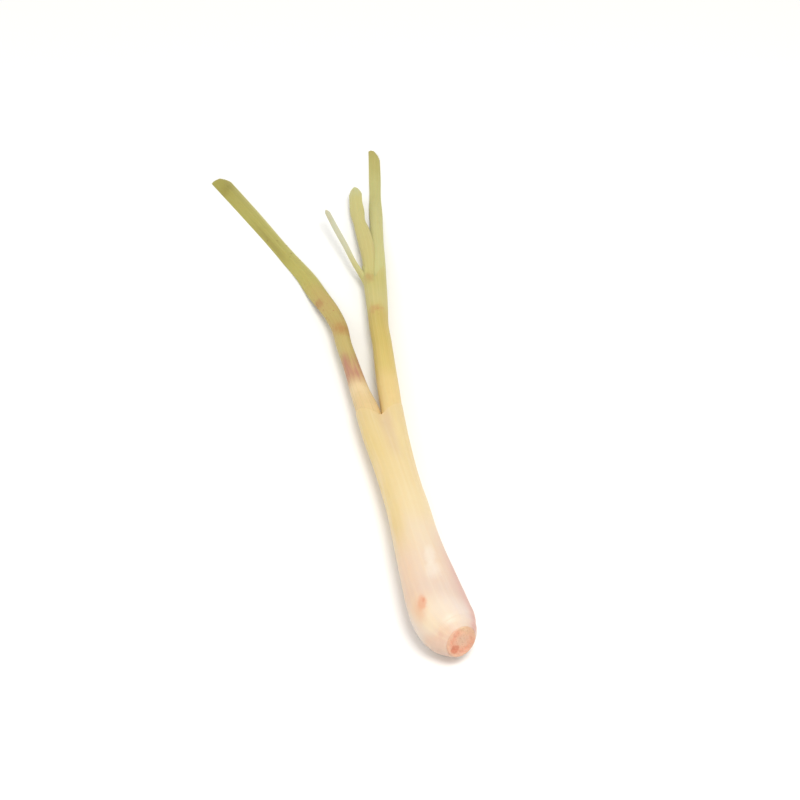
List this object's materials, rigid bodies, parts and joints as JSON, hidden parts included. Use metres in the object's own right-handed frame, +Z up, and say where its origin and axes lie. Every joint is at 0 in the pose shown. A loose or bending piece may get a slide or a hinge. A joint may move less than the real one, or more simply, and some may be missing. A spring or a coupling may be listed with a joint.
{
  "type": "lemongrass stalk",
  "caption": "Trimmed lemongrass stalk lying down, with a swollen pale bulb, a cut root end, rolled sheaths that fork into shoots, and arched green blades cut short.",
  "frame": {"origin": "middle of the small flat spot under the bulb, on the surface that the stalk lies on", "axes": "+Z up from that surface, +Y along the stalk from the bulb to the leaf tips, +X to the right seen from the root end"},
  "size_m": [0.1274, 0.3514, 0.0224],
  "materials": {
    "bulb": "smooth, waxy and moist, cream white at the bulb with a pink and lilac tint, pale yellow up the neck",
    "root": "raw cut face, tan pink, fibrous, with a darker ring",
    "sheath": "smooth, satin, ribbed along its length, pale yellow turning yellow green",
    "side_leaf": "satin, ribbed along its length, pale yellow with a mauve patch, then olive green above a reddish collar",
    "blade": "satin, ribbed along its length, light olive green"
  },
  "bodies": {
    "root": {"bulb_sheath": "bulb", "root_stem": "root", "main_sheath": "sheath", "side_leaf": "side_leaf", "tall_leaf": "blade", "middle_leaf": "blade"}
  },
  "joints": []
}
